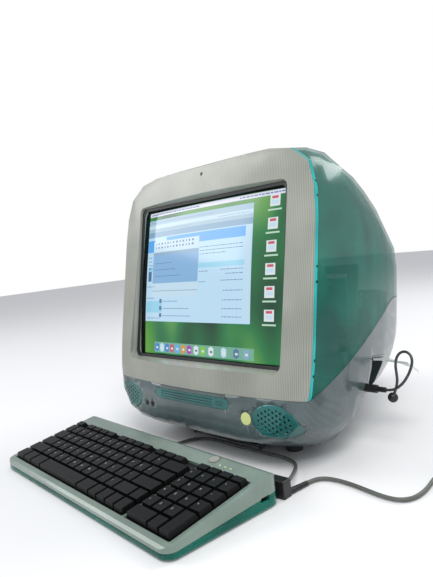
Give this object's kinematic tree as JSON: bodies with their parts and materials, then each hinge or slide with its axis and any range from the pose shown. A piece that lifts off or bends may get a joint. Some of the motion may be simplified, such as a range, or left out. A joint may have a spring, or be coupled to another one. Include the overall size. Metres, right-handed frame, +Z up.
{
  "type": "vintage home computer",
  "caption": "All-in-one home computer with a glass tube screen, coloured see-through shell, disc tray, port door, keyboard and leads.",
  "frame": {"origin": "middle of the set's footprint on the table top, without its free leads", "axes": "+X to the user's right, +Y from the keyboard to the back of the computer, +Z up"},
  "size_m": [0.5609, 0.6338, 0.3992],
  "materials": {
    "bezel": "satin",
    "shell": "translucent gloss",
    "rim_light": "translucent gloss",
    "lower": "translucent satin",
    "speaker": "satin",
    "dark_plastic": "satin",
    "lit_button": "lit",
    "tube_glass": "polished glass, dark",
    "steel": "satin",
    "copper": "wound wire",
    "board": "satin",
    "door": "satin",
    "keyboard_shell": "translucent satin",
    "key_caps": "satin",
    "rubber": "matte",
    "cord": "satin",
    "cord_black": "satin",
    "braid": "braided"
  },
  "bodies": {
    "root": {"front_bezel": "bezel", "microphone": "dark_plastic", "light_rim": "rim_light", "handle_recess": "shell", "carry_handle": "shell", "upper_shell": "shell", "port_recess": "lower", "lower_case": "lower", "case_feet": "rubber", "cd_drive": "steel", "speaker_grille_left": "speaker", "speaker_grille_right": "speaker", "speaker_left": "dark_plastic", "speaker_right": "dark_plastic", "headphone_jacks": "dark_plastic", "crt_tube": "tube_glass", "screen_mask": "dark_plastic", "crt_band": "steel", "deflection_yoke": "copper", "neck_board": "board", "inner_frame": "steel", "logic_board": "board", "hard_drive": "steel", "power_board": "board", "fan_frame": "dark_plastic", "port_sockets": "steel", "power_inlet": "dark_plastic", "keyboard_base": "shell", "cord_gland": "rubber", "keyboard_feet": "rubber", "keyboard_frame": "keyboard_shell", "indicator_lights": "lit_button", "key_plate": "dark_plastic", "keyboard_cord": "cord", "usb_block": "cord_black", "cord_boot": "cord_black", "extension_cord": "cord", "extension_coil": "cord", "usb_plug": "cord_black", "lead_plug": "cord_black", "port_lead": "braid", "lead_head": "cord_black"},
    "tray": {"cd_tray": "dark_plastic", "tray_front": "speaker"},
    "eject": {"eject_button": "speaker"},
    "power": {"power_button": "lit_button"},
    "door": {"port_door": "door"},
    "foot": {"front_foot": "lower"},
    "rotor": {"fan_rotor": "dark_plastic"},
    "keyboard_power": {"keyboard_power_key": "bezel"},
    "prop": {"keyboard_prop": "shell"},
    "bottom_row": {"keys_bottom_row": "key_caps"},
    "lower_row": {"keys_lower_row": "key_caps"},
    "home_row": {"keys_home_row": "key_caps"},
    "upper_row": {"keys_upper_row": "key_caps"},
    "number_row": {"keys_number_row": "key_caps"},
    "function_row": {"keys_function_row": "key_caps"},
    "space": {"space_bar": "key_caps"},
    "arrows": {"arrow_keys": "key_caps"},
    "enter": {"enter_key": "key_caps"}
  },
  "joints": [
    {"name": "tray_slide", "type": "slide", "parent": "root", "child": "tray", "axis": [0, -0.9816, 0.1908], "range_m": [0, 0.13]},
    {"name": "eject_press", "type": "slide", "parent": "tray", "child": "eject", "axis": [0, 0.9816, -0.1908], "range_m": [0, 0.0012], "stiffness_N_per_m": 200, "springref_m": -0.0005},
    {"name": "power_press", "type": "slide", "parent": "root", "child": "power", "axis": [0, 0.9816, -0.1908], "range_m": [0, 0.002], "stiffness_N_per_m": 300, "springref_m": -0.0005},
    {"name": "door_hinge", "type": "hinge", "parent": "root", "child": "door", "pos_m": [0.17753, 0.04529, 0.11292], "axis": [-0.2508, 0.9503, -0.1847], "range_deg": [0, 96]},
    {"name": "foot_hinge", "type": "hinge", "parent": "root", "child": "foot", "pos_m": [-0.009, -0.05882, 0.0042], "axis": [1, 0, 0], "range_deg": [-95, 0]},
    {"name": "rotor_spin", "type": "hinge", "parent": "root", "child": "rotor", "pos_m": [0.073, 0.18933, 0.14645], "axis": [0, 0.9816, -0.1908], "continuous": true},
    {"name": "keyboard_power_press", "type": "slide", "parent": "root", "child": "keyboard_power", "axis": [0.0076, 0.1562, -0.9877], "range_m": [0, 0.0015], "stiffness_N_per_m": 250, "springref_m": -0.0005},
    {"name": "prop_hinge", "type": "hinge", "parent": "root", "child": "prop", "pos_m": [-0.01434, -0.17638, 0.0049], "axis": [0.9988, -0.0489, 0], "range_deg": [0, 90]},
    {"name": "bottom_row_press", "type": "slide", "parent": "root", "child": "bottom_row", "axis": [0.0076, 0.1562, -0.9877], "range_m": [0, 0.003], "stiffness_N_per_m": 3000, "springref_m": -0.0005},
    {"name": "lower_row_press", "type": "slide", "parent": "root", "child": "lower_row", "axis": [0.0076, 0.1562, -0.9877], "range_m": [0, 0.003], "stiffness_N_per_m": 3000, "springref_m": -0.0005},
    {"name": "home_row_press", "type": "slide", "parent": "root", "child": "home_row", "axis": [0.0076, 0.1562, -0.9877], "range_m": [0, 0.003], "stiffness_N_per_m": 3000, "springref_m": -0.0005},
    {"name": "upper_row_press", "type": "slide", "parent": "root", "child": "upper_row", "axis": [0.0076, 0.1562, -0.9877], "range_m": [0, 0.003], "stiffness_N_per_m": 3000, "springref_m": -0.0005},
    {"name": "number_row_press", "type": "slide", "parent": "root", "child": "number_row", "axis": [0.0076, 0.1562, -0.9877], "range_m": [0, 0.003], "stiffness_N_per_m": 3000, "springref_m": -0.0005},
    {"name": "function_row_press", "type": "slide", "parent": "root", "child": "function_row", "axis": [0.0076, 0.1562, -0.9877], "range_m": [0, 0.003], "stiffness_N_per_m": 3000, "springref_m": -0.0005},
    {"name": "space_press", "type": "slide", "parent": "root", "child": "space", "axis": [0.0076, 0.1562, -0.9877], "range_m": [0, 0.003], "stiffness_N_per_m": 400, "springref_m": -0.0005},
    {"name": "arrows_press", "type": "slide", "parent": "root", "child": "arrows", "axis": [0.0076, 0.1562, -0.9877], "range_m": [0, 0.003], "stiffness_N_per_m": 800, "springref_m": -0.0005},
    {"name": "enter_press", "type": "slide", "parent": "root", "child": "enter", "axis": [0.0076, 0.1562, -0.9877], "range_m": [0, 0.003], "stiffness_N_per_m": 250, "springref_m": -0.0005}
  ]
}
